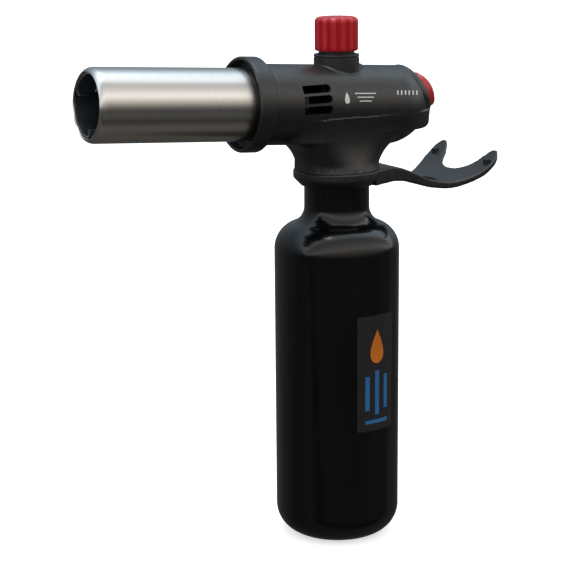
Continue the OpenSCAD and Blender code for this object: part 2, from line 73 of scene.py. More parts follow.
SLEEVE = mount("burner_sleeve")
MOUTHWARD = Vector(SLEEVE["axis"]).normalized()
TILT = math.asin(MOUTHWARD.z)
SLEEVE_AT = Vector(SLEEVE["pos_m"])
AXIS_Z = (SLEEVE_AT.z - SLEEVE_AT.x / MOUTHWARD.x * MOUTHWARD.z) / MM
TUBE_R = SLEEVE["dims"]["r_mm"]
CAN_R = high("canister").x
NECK_TOP = high("canister").z
KNOB_TOP = high("gas_knob").z
KNOB_R = 8.5
KNOB_LOW = 196.8
SKIRT_Z = 150.5
BARREL_R = 15.6
SHELL = 1.5
BOSS_R = 8.95
BOSS_TOP = high("knob_sleeve").z
TUBE_NECK_R, TUBE_NECK_S = TUBE_R - 0.4, 43.7
COLLAR = (36.3, 43.6)
COLLAR_R = 18.3
MOUTH_S = 107
BUTTON_SLOPE = 29
BUTTON_R = 7.7

# Local z runs along the barrel to the mouth and local x points up
ON_BARREL = (Matrix.Translation((0, 0, AXIS_Z * MM)) @ Matrix.Rotation(TILT, 4, "Y")
             @ Matrix.Rotation(math.radians(-90), 4, "Y"))
PRESS = Vector(joint("button_press")["axis"])
PAD = (38.9, 5.4)


def in_head(x, y, u):
    """A point given along the barrel to the rear, across, and up from the barrel's axis."""
    c, s = math.cos(TILT), math.sin(TILT)
    return x * c + u * s, y, AXIS_Z + u * c - x * s


PAD_AT = Vector(in_head(PAD[0], 0, PAD[1])) * MM
ON_BUTTON = Matrix.Translation(PAD_AT) @ (-PRESS).to_track_quat("Z", "Y").to_matrix().to_4x4()


# --- Materials ---------------------------------------------------------------------------
def node_input(node, name, value):
    node.inputs[name].default_value = value


def new_material(name, colour, roughness, metallic=0.0, **sockets):
    """A Principled material and its node tree; sockets sets further constants on the shader."""
    m = bpy.data.materials.new(name)
    m.use_nodes = True
    shader = m.node_tree.nodes["Principled BSDF"]
    node_input(shader, "Base Color", (*colour, 1))
    node_input(shader, "Roughness", roughness)
    node_input(shader, "Metallic", metallic)
    for key, value in sockets.items():
        node_input(shader, key.replace("_", " ").title().replace("Ior", "IOR"), value)
    return m


def noise(tree, scale, detail=4, stretch=(1, 1, 1), roughness=0.55):
    """Noise in the piece's own coordinates; scale is in cycles per metre before the stretch."""
    place = tree.nodes.new("ShaderNodeTexCoord")
    mapping = tree.nodes.new("ShaderNodeMapping")
    texture = tree.nodes.new("ShaderNodeTexNoise")
    node_input(mapping, "Scale", stretch)
    node_input(texture, "Scale", scale)
    node_input(texture, "Detail", detail)
    node_input(texture, "Roughness", roughness)
    tree.links.new(place.outputs["Object"], mapping.inputs["Vector"])
    tree.links.new(mapping.outputs["Vector"], texture.inputs["Vector"])
    return texture.outputs["Fac"]


def ranged(tree, source, lowest, highest, start=0.3, end=0.7):
    node = tree.nodes.new("ShaderNodeMapRange")
    node_input(node, "From Min", start)
    node_input(node, "From Max", end)
    node_input(node, "To Min", lowest)
    node_input(node, "To Max", highest)
    tree.links.new(source, node.inputs["Value"])
    return node.outputs["Result"]


def vary_roughness(m, source, lowest, highest):
    tree = m.node_tree
    shader = tree.nodes["Principled BSDF"]
    tree.links.new(ranged(tree, source, lowest, highest), shader.inputs["Roughness"])


def vary_colour(m, source, first, second):
    tree = m.node_tree
    mix = tree.nodes.new("ShaderNodeMix")
    mix.data_type = "RGBA"
    tree.links.new(ranged(tree, source, 0, 1), mix.inputs["Factor"])
    for socket in mix.inputs:
        if socket.type == "RGBA":
            socket.default_value = (*(first if socket.name == "A" else second), 1)
    colour = next(o for o in mix.outputs if o.type == "RGBA")
    tree.links.new(colour, tree.nodes["Principled BSDF"].inputs["Base Color"])


def add_bump(m, layers):
    """Bump from (source, depth in mm) layers, one after another."""
    tree = m.node_tree
    normal = None
    for source, depth in layers:
        bump = tree.nodes.new("ShaderNodeBump")
        node_input(bump, "Distance", depth * MM)
        node_input(bump, "Strength", 1.0)
        tree.links.new(source, bump.inputs["Height"])
        if normal:
            tree.links.new(normal, bump.inputs["Normal"])
        normal = bump.outputs["Normal"]
    tree.links.new(normal, tree.nodes["Principled BSDF"].inputs["Normal"])


def moulded(name, colour, roughness, grain=0.012, second=None, **sockets):
    """Moulded plastic: a fine eroded grain, faint flow marks and handling marks."""
    m = new_material(name, colour, roughness, **sockets)
    tree = m.node_tree
    second = second or tuple(c * 0.8 for c in colour)
    vary_colour(m, noise(tree, 160, 3), colour, second)
    vary_roughness(m, noise(tree, 420, 5), roughness - 0.05, roughness + 0.07)
    add_bump(m, [(noise(tree, 2600, 2), grain), (noise(tree, 90, 2), grain * 2)])
    return m


def machined(name, colour, roughness, lines=(1, 1, 40), depth=0.004):
    """Turned metal: fine tool lines round the piece and a little staining."""
    m = new_material(name, colour, roughness, 1.0)
    tree = m.node_tree
    vary_colour(m, noise(tree, 260, 4), colour, tuple(c * 0.8 for c in colour))
    vary_roughness(m, noise(tree, 300, 4), roughness - 0.06, roughness + 0.1)
    add_bump(m, [(noise(tree, 130, 3, lines), depth)])
    return m


def lacquered(name, colour):
    """Gloss black lacquer over aluminium: orange peel, dust nibs and faint wiping marks."""
    m = new_material(name, colour, 0.14, coat_weight=0.15, coat_roughness=0.05,
                     specular_ior_level=0.4)
    tree = m.node_tree
    vary_colour(m, noise(tree, 40, 3), colour, tuple(c * 1.6 for c in colour))
    vary_roughness(m, noise(tree, 55, 5, (1, 1, 0.35)), 0.12, 0.26)
    add_bump(m, [(noise(tree, 700, 2), 0.0025), (noise(tree, 45, 2), 0.01)])
    return m


def brushed(name, colour, roughness, anisotropic=0.5):
    """Steel brushed round its axis, which is the piece's own z."""
    m = new_material(name, colour, roughness, 1.0, anisotropic=anisotropic,
                     anisotropic_rotation=0.25)
    tree = m.node_tree
    tangent = tree.nodes.new("ShaderNodeTangent")
    tangent.direction_type = "RADIAL"
    tangent.axis = "Z"
    tree.links.new(tangent.outputs["Tangent"], tree.nodes["Principled BSDF"].inputs["Tangent"])
    streaks = noise(tree, 60, 5, (0.5, 0.5, 130), 0.65)
    vary_colour(m, streaks, colour, tuple(c * 0.93 for c in colour))
    vary_roughness(m, noise(tree, 60, 5, (0.5, 0.5, 60), 0.6), roughness - 0.03, roughness + 0.05)
    add_bump(m, [(streaks, 0.0012)])
    return m


# Painted reflection tint: a bluish specular tint standing for the cool light the stand reflects
PAINTED_BLUE_SHEEN = (0.85, 0.95, 1, 1)
STEEL = brushed("burner_steel", (0.68, 0.655, 0.625), 0.27, 0.7)
# Darker, teal-tinted steel: painted shade and reflection for the vanes deep in the mouth
SHADED_TEAL_STEEL = brushed("shaded_teal_steel", (0.3, 0.37, 0.39), 0.3, 0.3)
HOUSING = moulded("housing_plastic", (0.010, 0.010, 0.0105), 0.38, specular_ior_level=0.7)
SLEEVE_PLASTIC_AND_HUB_SHADE = moulded("sleeve_plastic_and_hub_shade", (0.016, 0.017, 0.019), 0.36)
STAND = moulded("stand_paint", (0.026, 0.033, 0.041), 0.38, 0.008, specular_tint=PAINTED_BLUE_SHEEN,
                specular_ior_level=0.8)
KNOB = moulded("red_knob", (0.6, 0.022, 0.034), 0.24, 0.002, (0.54, 0.018, 0.028))
BUTTON = moulded("red_button", (0.55, 0.03, 0.045), 0.3, 0.004, (0.5, 0.026, 0.04))
LACQUER = lacquered("gloss_black_canister", (0.0014, 0.0014, 0.0016))
LABEL = moulded("label_film", (0.018, 0.018, 0.019), 0.4, 0.002)
INK_BLUE = moulded("ink_blue", (0.027, 0.18, 0.46), 0.45, 0.002)
INK_ORANGE = moulded("ink_orange", (0.74, 0.2, 0.012), 0.45, 0.002)
INK_WHITE = moulded("ink_white", (0.78, 0.78, 0.78), 0.5, 0.002, (0.7, 0.7, 0.7))
RUBBER = moulded("seal_rubber", (0.012, 0.012, 0.012), 0.7, 0.01)
BRASS = machined("brass", (0.72, 0.52, 0.22), 0.3)
# Near-black brass and steel: painted shade for the parts seen through the vents
SHADE_DARK_BRASS = machined("shade_dark_brass", (0.05, 0.038, 0.022), 0.5)
SHADE_DARK_STEEL = machined("shade_dark_steel", (0.05, 0.052, 0.054), 0.45)
SMALL_STEEL = machined("steel_small", (0.62, 0.62, 0.63), 0.26)
PLATED = machined("plated_nut", (0.66, 0.66, 0.68), 0.24)
COPPER = machined("copper_pipe", (0.72, 0.36, 0.2), 0.28)
ACETAL = moulded("white_plastic", (0.75, 0.74, 0.69), 0.4)
CERAMIC = moulded("ceramic", (0.82, 0.8, 0.74), 0.55, 0.006)
LEAD = moulded("lead_rubber", (0.014, 0.014, 0.016), 0.5)
PIEZO = moulded("piezo_case", (0.02, 0.02, 0.02), 0.4)

CAD_FINISH = {
    "gloss_black_canister": LACQUER, "label_film": LABEL, "brass": BRASS, "steel_small": SMALL_STEEL,
    "seal_rubber": RUBBER, "stand_paint": STAND, "white_plastic": ACETAL,
    "housing_plastic": HOUSING, "plated_nut": PLATED, "copper_pipe": COPPER,
    "burner_steel": SHADED_TEAL_STEEL, "ceramic": CERAMIC, "lead_rubber": LEAD, "piezo_case": PIEZO,
    "red_knob": KNOB, "red_button": BUTTON,
}
# Painted shade: what shows through the vents is coloured near black, standing for the shade inside the head
SHADE_IN_THE_HEAD = {node: SHADE_DARK_BRASS for node in ("gas_valve_body", "packing_nut", "nozzle_holder",
                                               "jet_nozzle", "gas_pipe")}
SHADE_IN_THE_HEAD |= {node: SHADE_DARK_STEEL for node in ("mixing_tube", "tube_carrier", "electrode_insulator")}
NODE_SLOT = {s["node"]: s["material_slot"] for s in frame["record"]["subparts"]}
for node, obj in frame["nodes"].items():
    obj.data.materials.clear()
    obj.data.materials.append(SHADE_IN_THE_HEAD.get(node, CAD_FINISH[NODE_SLOT[node]]))


# --- Making pieces -----------------------------------------------------------------------
def mesh_piece(name, points, faces, material, place=None, sharp=32, weld=True):
    """A smooth-shaded mesh from points in millimetres."""
    mesh = bpy.data.meshes.new(name)
    mesh.from_pydata([tuple(float(c) * MM for c in p) for p in points], [], faces)
    if weld:
        bm = bmesh.new()
        bm.from_mesh(mesh)
        bmesh.ops.remove_doubles(bm, verts=bm.verts, dist=1e-7)
        bmesh.ops.recalc_face_normals(bm, faces=bm.faces)
        bm.to_mesh(mesh)
        bm.free()
    obj = bpy.data.objects.new(name, mesh)
    bpy.context.scene.collection.objects.link(obj)
    if place:
        obj.matrix_world = place
    mesh.materials.append(material)
    smooth(mesh, sharp)
    return obj


def smooth(mesh, sharp):
    mesh.shade_smooth()
    mesh.set_sharp_from_angle(angle=math.radians(sharp))


def settle(obj, body, *nodes):
    """Puts a finished piece on its body, standing for CAD nodes, which it hides."""
    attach(obj, body)
    if nodes:
        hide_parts(*nodes)
    return obj


def arc(centre, radius, start, end, steps=12):
    angles = np.radians(np.linspace(start, end, steps + 1))
    return [(centre[0] + radius * math.cos(a), centre[1] + radius * math.sin(a)) for a in angles]


def rounded(points, steps=5):
    """A closed outline; a point's third number rounds that corner."""
    out = []
    for i, p in enumerate(points):
        corner = np.array(p[:2], float)
        if len(p) < 3:
            out.append(tuple(corner))
            continue
        before = np.array(points[i - 1][:2], float) - corner
        after = np.array(points[(i + 1) % len(points)][:2], float) - corner
        lengths = np.linalg.norm(before), np.linalg.norm(after)
        before, after = before / lengths[0], after / lengths[1]
        half = math.acos(np.clip(before @ after, -1, 1)) / 2
        reach = min(p[2] / math.tan(half), 0.49 * lengths[0], 0.49 * lengths[1])
        radius = reach * math.tan(half)
        middle = corner + (before + after) / np.linalg.norm(before + after) * radius / math.sin(half)
        start, end = corner + before * reach - middle, corner + after * reach - middle
        for k in range(steps + 1):
            mixed = start * (1 - k / steps) + end * k / steps
            out.append(tuple(middle + mixed / np.linalg.norm(mixed) * radius))
    return out


def turned(name, outline, material, place=None, segments=SEGMENTS, sharp=32):
    """A closed (radius, height) outline turned round z."""
    n = len(outline)
    angles = 2 * np.pi * np.arange(segments) / segments
    points = [(r * math.cos(a), r * math.sin(a), z) for a in angles for r, z in outline]
    faces = []
    for j in range(segments):
        here, after = j * n, (j + 1) % segments * n
        faces += [(here + i, after + i, after + (i + 1) % n, here + (i + 1) % n) for i in range(n)]
    return mesh_piece(name, points, faces, material, place, sharp)


def prism(name, outline, low_z, high_z, place=None):
    """A plain upright prism over a plan outline, used as a cutter."""
    n = len(outline)
    points = [(x, y, z) for z in (low_z, high_z) for x, y in outline]
    faces = [tuple(range(n))[::-1], tuple(range(n, 2 * n))]
    faces += [(i, (i + 1) % n, n + (i + 1) % n, n + i) for i in range(n)]
    return mesh_piece(name, points, faces, HOUSING, place)


def apply_boolean(obj, operation, cutters):
    """Cuts or joins with the exact solver and removes the cutters."""
    for cutter in cutters:
        modifier = obj.modifiers.new("cut", "BOOLEAN")
        modifier.operation = operation
        modifier.solver = "EXACT"
        modifier.object = cutter
        apply_modifiers(obj)
        bpy.data.objects.remove(cutter)


def apply_modifiers(obj):
    bpy.context.view_layer.update()
    graph = bpy.context.evaluated_depsgraph_get()
    mesh = bpy.data.meshes.new_from_object(obj.evaluated_get(graph))
    obj.modifiers.clear()
    obj.data = mesh


def circle(radius, centre=(0, 0), steps=64):
    return [(centre[0] + radius * math.cos(2 * math.pi * i / steps),
             centre[1] + radius * math.sin(2 * math.pi * i / steps)) for i in range(steps)]


# --- Canister and label ------------------------------------------------------------------
FOOT_ROUND, WALL_TOP, SHOULDER_R, NECK_R, NECK_FILLET = 11.5, 118.5, 11, 13, 7
CAN_WALL, SEAT_Z, SEAT_R, MOUTH_R = 1.2, 146, 12.4, 11
DOME_R, DOME_H, VALVE_HOLE_R = 12.4, 5, 4.2
DOME_SPHERE = (DOME_R ** 2 + DOME_H ** 2) / (2 * DOME_H)


def dome(inset):
    radii = np.linspace(VALVE_HOLE_R, DOME_R, 14)
    return [(r, DOME_H - DOME_SPHERE + math.sqrt((DOME_SPHERE + inset) ** 2 - r * r)) for r in radii]


def can_side(inset):
    across = CAN_R - SHOULDER_R - NECK_R - NECK_FILLET
    up = math.sqrt((SHOULDER_R + NECK_FILLET) ** 2 - across ** 2)
    turn = math.degrees(math.atan2(up, -across))
    return (arc((CAN_R - FOOT_ROUND, FOOT_ROUND), FOOT_ROUND - inset, -90, 0, 20)
            + arc((CAN_R - SHOULDER_R, WALL_TOP), SHOULDER_R - inset, 0, turn, 24)
            + arc((NECK_R + NECK_FILLET, WALL_TOP + up), NECK_FILLET + inset, turn + 180, 180, 18))


def make_canister():
    mouth = rounded([(NECK_R, SEAT_Z, 0.3), (SEAT_R, SEAT_Z, 0.1), (SEAT_R, NECK_TOP, 0.3),
                     (MOUTH_R, NECK_TOP, 0.3), (MOUTH_R, SEAT_Z - 4, 0.5),
                     (NECK_R - CAN_WALL, SEAT_Z - 6, 0.5)])
    outline = dome(0) + can_side(0) + mouth + can_side(CAN_WALL)[::-1] + dome(CAN_WALL)[::-1]
    settle(turned("canister_bottle", outline, LACQUER), "root", "canister")


LABEL_LOW, LABEL_HIGH = low("label_panel").z, high("label_panel").z
LABEL_START, LABEL_SWEEP, LABEL_T = -102.7, 41, 0.15


def wrapped(name, outline, material, to_surface, thick=0.03, cuts=10):
    """A thin printed or stuck patch: a flat outline laid on a curved surface."""
    bm = bmesh.new()
    face = bm.faces.new([bm.verts.new((x, y, 0)) for x, y in outline])
    for axis in (0, 1):
        lowest, highest = min(p[axis] for p in outline), max(p[axis] for p in outline)
        along = Vector((1 - axis, axis, 0))
        for k in range(1, cuts):
            bmesh.ops.bisect_plane(bm, geom=bm.verts[:] + bm.edges[:] + bm.faces[:],
                                   plane_co=along * (lowest + (highest - lowest) * k / cuts),
                                   plane_no=along)
    top = bmesh.ops.extrude_face_region(bm, geom=bm.faces[:])
    for v in (g for g in top["geom"] if isinstance(g, bmesh.types.BMVert)):
        v.co.z = thick
    bmesh.ops.recalc_face_normals(bm, faces=bm.faces)
    for v in bm.verts:
        v.co = Vector(to_surface(*v.co)) * MM
    mesh = bpy.data.meshes.new(name)
    bm.to_mesh(mesh)
    bm.free()
    obj = bpy.data.objects.new(name, mesh)
    bpy.context.scene.collection.objects.link(obj)
    mesh.materials.append(material)
    smooth(mesh, 40)
    return obj


def on_can(x, y, out):
    """x runs round the canister from the label's middle, y up from its middle, in mm."""
    angle = math.radians(LABEL_START + LABEL_SWEEP / 2) + x / CAN_R
    r = CAN_R + out
    return r * math.cos(angle), r * math.sin(angle), (LABEL_LOW + LABEL_HIGH) / 2 + y


def on_head_side(x, y, out):
    """x runs along the barrel to the rear, y up round its near side from the axis, in mm."""
    angle = y / BARREL_R
    r = BARREL_R + out
    return in_head(x, -r * math.cos(angle), r * math.sin(angle))


def bar(x0, x1, y0, y1, lean=0.0):
    return [(x0 + lean * y0, y0), (x1 + lean * y0, y0), (x1 + lean * y1, y1), (x0 + lean * y1, y1)]


def drop(x, y, size, steps=28):
    """A flame-like drop with its point up."""
    out = []
    for k in range(steps):
        a = 2 * math.pi * k / steps
        out.append((x + size * math.sin(a) * math.sin(a / 2) ** 1.4, y + size * 1.5 * math.cos(a)))
    return out


def make_label():
    half = math.radians(LABEL_SWEEP) * CAN_R / 2
    tall = (LABEL_HIGH - LABEL_LOW) / 2
    sheet = rounded([(-half, -tall, 0.8), (half, -tall, 0.8), (half, tall, 0.8), (-half, tall, 0.8)])
    settle(wrapped("label_sheet", sheet, LABEL, on_can, LABEL_T, 14), "root", "label_panel")
    art = [("label_drop", drop(0, 11, 4.6), INK_ORANGE)]
    for k, (x0, x1) in enumerate([(-5.6, -3.6), (-1, 1), (3.6, 5.6)]):
        shorter = 2 * abs(k - 1)
        art.append((f"label_stripe_{k}", bar(x0, x1, -17 + shorter, 1 - shorter), INK_BLUE))
    art.append(("label_band", bar(-5.6, 5.6, -20.5, -19), INK_BLUE))
    for name, outline, ink in art:
        patch = wrapped(name, outline, ink,
                        lambda x, y, out: on_can(x, y, out + LABEL_T - 0.01), 0.04, 8)
        settle(patch, "root")


def make_head_print():
    marks = [("head_print_drop", drop(-4.6, 4.1, 1.55))]
    for k in range(3):
        start, end, low_edge = -2 + 1.2 * k, 7.6 - 0.9 * k, 5.6 - 1.5 * k
        marks.append((f"head_print_bar_{k}", bar(start, end, low_edge, low_edge + 0.4, 0.2)))
    for k in range(6):
        start = 17.4 + 1.8 * k
        marks.append((f"head_print_tick_{k}", bar(start, start + 0.6, 5.2, 7, 0.2)))
    for name, outline in marks:
        patch = wrapped(name, outline, INK_WHITE,
                        lambda x, y, out: on_head_side(x, y, out + 0.005), 0.02, 5)
        settle(patch, "root")


# --- Housing -----------------------------------------------------------------------------
FRONT_Z, FRONT_FLARE = 152.5, 10.5
SKIRT_R, SKIRT_SPARE = 16.8, 5
REAR_Z, REAR_FLARE, REAR_RISE, REAR_CORNER = 151, 21.5, 14, 2.5
WAIST_Z, WAIST_R, SKIRT_TOP_R, SKIRT_TOP = 163, 14.3, 15.4, 172.3
BARREL_FRONT, NOSE_X = -38, 24
SPLIT_X, SPLIT_DEPTH, SPLIT_HALF, SEAM_DEPTH = -33.4, 0.12, 0.3, 0.1
LIP_H, LIP_GAP, LIP_HALF = 0.6, 0.45, 0.42
VENT_X, VENT_Z, VENT_HALF = (-23.4, -10.9), (184.1, 180.2, 176.2), 1.5
# Each screw's place along the barrel to the rear and up from its axis
SCREWS = ((-27, 9.8), (19, 9.8), (-12, -11.5), (10, -11))
SCREW_WELL_R, SCREW_WELL_FROM, CUT_CLEAR = 2.2, 7.5, 26
PAD_ROUND, PAD_SUNK, TOP_RIM_R, LOW_RIM_R, HOLE_R = 4, 1.3, 14.5, 10, 7.95


def skirt_inside(x, y, z, inset):
    """Whether points lie in the skirt under the barrel, which blends from round to boxy."""
    k = np.clip((z - FRONT_Z) / FRONT_FLARE, 0, 1)
    front = SKIRT_R - 0.6 + 0.6 * np.clip(1 - (z - SKIRT_Z) / 2, 0, 1) ** 2
    front = front + FRONT_FLARE * (1 - np.sqrt(1 - k * k))
    k = np.clip((z - REAR_Z) / REAR_RISE, 0, 1)
    lift = np.clip((z - REAR_Z - REAR_RISE) / REAR_CORNER, 0, 1)
    rear = SKIRT_R + REAR_FLARE * (1 - np.sqrt(1 - k * k))
    rear = rear + REAR_CORNER * np.sqrt(1 - (1 - lift) ** 2)
    k = np.clip((z - SKIRT_Z) / (WAIST_Z - SKIRT_Z), 0, 1)
    wide = SKIRT_R + (WAIST_R - SKIRT_R) * np.sin(k * np.pi / 2)
    wide = wide + (SKIRT_TOP_R - WAIST_R) * np.clip((z - WAIST_Z) / 9, 0, 1) ** 2
    boxy = 2 + np.where(x > 0, 1.0, 1.8) * np.clip((z - 153) / 10, 0, 1)
    reach = np.where(x > 0, rear, front) - inset
    across = (np.abs(x) / reach) ** boxy + (np.abs(y) / (wide - inset)) ** boxy < 1
    return across & (z < SKIRT_TOP) & (z > SKIRT_Z - SKIRT_SPARE + inset)


def skirt_reach(cx, cu, lean, angle, side, inset):
    """How far the skirt reaches along rays from the barrel's centre line."""
    cos_t, sin_t = math.cos(TILT), math.sin(TILT)

    def inside(rho):
        x = cx - rho * np.cos(angle) * np.sin(lean)
        u = cu + rho * np.cos(angle) * np.cos(lean)
        return skirt_inside(x * cos_t + u * sin_t, side * rho * np.sin(angle),
                            AXIS_Z + u * cos_t - x * sin_t, inset)

    best = np.zeros(np.broadcast(cx, angle).shape)
    step = 0.75
    for rho in np.arange(step, 50, step):
        best = np.where(inside(rho), rho, best)
    near, far = best, best + step
    for _ in range(12):
        middle = (near + far) / 2
        held = inside(middle)
        near, far = np.where(held, middle, near), np.where(held, far, middle)
    return np.where(best > 0, near, 0)


def soft_max(a, b, k):
    return (a + b + np.sqrt((a - b) ** 2 + k * k)) / 2


def housing_grid(side, inset, columns):
    """Rows of points down the barrel, over its sloping rear and into the button's hole."""
    spacing = 0.6 if FINE else 1.1
    slope = math.radians(BUTTON_SLOPE)
    straight = np.arange(BARREL_FRONT, NOSE_X, spacing)
    flat = 0 * straight
    t = np.linspace(0, 1, 26)
    depth = PAD_ROUND + PAD_SUNK
    end_x, end_u = PAD[0] - depth * math.cos(slope), PAD[1] - depth * math.sin(slope)
    base = BARREL_R - inset
    top_r, low_r = (TOP_RIM_R, LOW_RIM_R) if inset == 0 else (HOLE_R + 1.5, HOLE_R)
    cx = np.concatenate([straight, NOSE_X + (end_x - NOSE_X) * t])
    drop = end_u * t ** 1.3
    cu = np.concatenate([flat, drop])
    lean = np.concatenate([flat, slope * t])
    level = (base - drop) / np.cos(slope * t)
    above = np.concatenate([flat + base, level + (top_r - level[-1]) * t ** 6])
    below = np.concatenate([flat + base, base + (low_r - base) * t ** 1.7])
    phi = np.linspace(0, np.pi / 2, 10)[1:]
    out = PAD_ROUND * np.sin(phi) if inset == 0 else np.array([0.5])
    shrink = np.cos(phi) if inset == 0 else np.array([0.0])
    cx = np.concatenate([cx, end_x + out * math.cos(slope)])
    cu = np.concatenate([cu, end_u + out * math.sin(slope)])
    lean = np.concatenate([lean, slope + 0 * out])
    above = np.concatenate([above, HOLE_R + (top_r - HOLE_R) * shrink])
    below = np.concatenate([below, HOLE_R + (low_r - HOLE_R) * shrink])
    angle = np.linspace(0, np.pi, columns + 1)[None, :]
    cx, cu, lean, above, below = (v[:, None] for v in (cx, cu, lean, above, below))
    radius = below + (above - below) * ((1 + np.cos(angle)) / 2) ** 2.5
    reach = skirt_reach(cx, cu, lean, angle, side, inset)
    reach[-1] = 0
    rho = soft_max(radius, reach, 0.5)
    rho[-1] = HOLE_R
    if inset == 0:
        rho = rho - SPLIT_DEPTH * np.exp(-((cx - SPLIT_X) / SPLIT_HALF) ** 2)
        rho[:-1, [0, -1]] -= SEAM_DEPTH
    x = cx - rho * np.cos(angle) * np.sin(lean)
    u = cu + rho * np.cos(angle) * np.cos(lean)
    y = side * rho * np.sin(angle)
    if inset == 0:
        # A thin raised lip where the barrel meets the knob's sleeve
        away = np.hypot(x, y)
        lip = LIP_H * np.exp(-((away - BOSS_R - LIP_GAP) / LIP_HALF) ** 2) * (u > 0)
        grown = (rho + lip) / rho
        y, u = y * grown, cu + (u - cu) * grown
    return np.stack(in_head(x, y, u), -1)


def housing_half(name, side, node):
    columns = 150 if FINE else 80
    outer = housing_grid(side, 0, columns)
    inner = housing_grid(side, SHELL, columns)
    rows_out, rows_in, width = len(outer), len(inner), columns + 1
    points = np.concatenate([outer.reshape(-1, 3), inner.reshape(-1, 3)])
    base = rows_out * width
    faces = []
    for start, rows in ((0, rows_out), (base, rows_in)):
        for i in range(rows - 1):
            for j in range(columns):
                k = start + i * width + j
                faces.append((k, k + 1, k + width + 1, k + width))
    last_out, last_in = (rows_out - 1) * width, base + (rows_in - 1) * width
    for j in range(columns):
        faces.append((j, j + 1, base + j + 1, base + j))
        faces.append((last_out + j, last_out + j + 1, last_in + j + 1, last_in + j))
    for j in (0, columns):
        for i in range(rows_in - 2):
            a, b = i * width + j, base + i * width + j
            faces.append((a, a + width, b + width, b))
        i = rows_in - 2
        rim = tuple(k * width + j for k in range(i, rows_out))
        faces.append(rim + (last_in + j, base + i * width + j))
    obj = mesh_piece(name, points, faces, HOUSING, sharp=40)
    cutters = [prism("cut_foot", bar(-60, 60, -30, 30), SKIRT_Z - 2 * SKIRT_SPARE, SKIRT_Z),
               prism("cut_boss", circle(BOSS_R), AXIS_Z + BARREL_R / 2, BOSS_TOP + 10)]
    front, back = VENT_X
    half = VENT_HALF
    vent = rounded([(front, -half, 0.5), (back, -half, half - 0.01), (back, half, half - 0.01),
                    (front, half, 0.5)], 8)
    for z in VENT_Z:
        upright = Matrix.Translation((0, 0, z * MM)) @ Matrix.Rotation(math.radians(90), 4, "X")
        cutters.append(prism("cut_vent", vent, -CUT_CLEAR, CUT_CLEAR, upright))
    if side > 0:
        for x, u in SCREWS:
            at = Vector(in_head(x, 0, u)) * MM
            across = Matrix.Translation(at) @ Matrix.Rotation(math.radians(-90), 4, "X")
            well = circle(SCREW_WELL_R, steps=32)
            cutters.append(prism("cut_screw", well, SCREW_WELL_FROM, CUT_CLEAR, across))
    apply_boolean(obj, "DIFFERENCE", cutters)
    smooth(obj.data, 40)
    settle(obj, "root", node)


# --- Collar, sleeve, knob and button -----------------------------------------------------
RECESS_R, RECESS_S, COLLAR_FLOOR_S = 16.7, 39.4, 38.05


def make_collar():
    back, front = COLLAR
    outline = rounded([
        (BARREL_R + 0.02, back, 0.1), (COLLAR_R - 0.7, back, 0.4), (COLLAR_R, back + 0.9, 0.6),
        (COLLAR_R, front - 0.7, 0.5), (COLLAR_R - 0.55, front, 0.4), (COLLAR_R - 1.25, front, 0.3),
        (COLLAR_R - 1.5, front - 0.35, 0.2), (RECESS_R, RECESS_S, 0.5),
        (TUBE_NECK_R + 0.02, RECESS_S, 0.2), (TUBE_NECK_R + 0.02, COLLAR_FLOOR_S),
        (BARREL_R + 0.02, COLLAR_FLOOR_S)])
    settle(turned("front_ring", outline, HOUSING, ON_BARREL, sharp=50), "root", "front_collar")


def make_sleeve():
    """A plain sleeve with a shallow groove near its top and a flange inside the head."""
    bore, top, bottom = 7.3, BOSS_TOP, 184.7
    outside, groove, flange = BOSS_R - 0.02, BOSS_R - 0.3, BOSS_R + 0.8
    outline = rounded([
        (bore, bottom), (flange, bottom), (flange, bottom + 1.2), (outside, bottom + 1.2),
        (outside, top - 1.3, 0.1), (groove, top - 1.15, 0.1), (groove, top - 0.9, 0.1),
        (outside, top - 0.75, 0.1), (outside, top, 0.3), (bore + 0.3, top, 0.2),
        (bore, top - 0.3, 0.1)])
    settle(turned("knob_tower", outline, SLEEVE_PLASTIC_AND_HUB_SHADE, sharp=50), "root", "knob_sleeve")


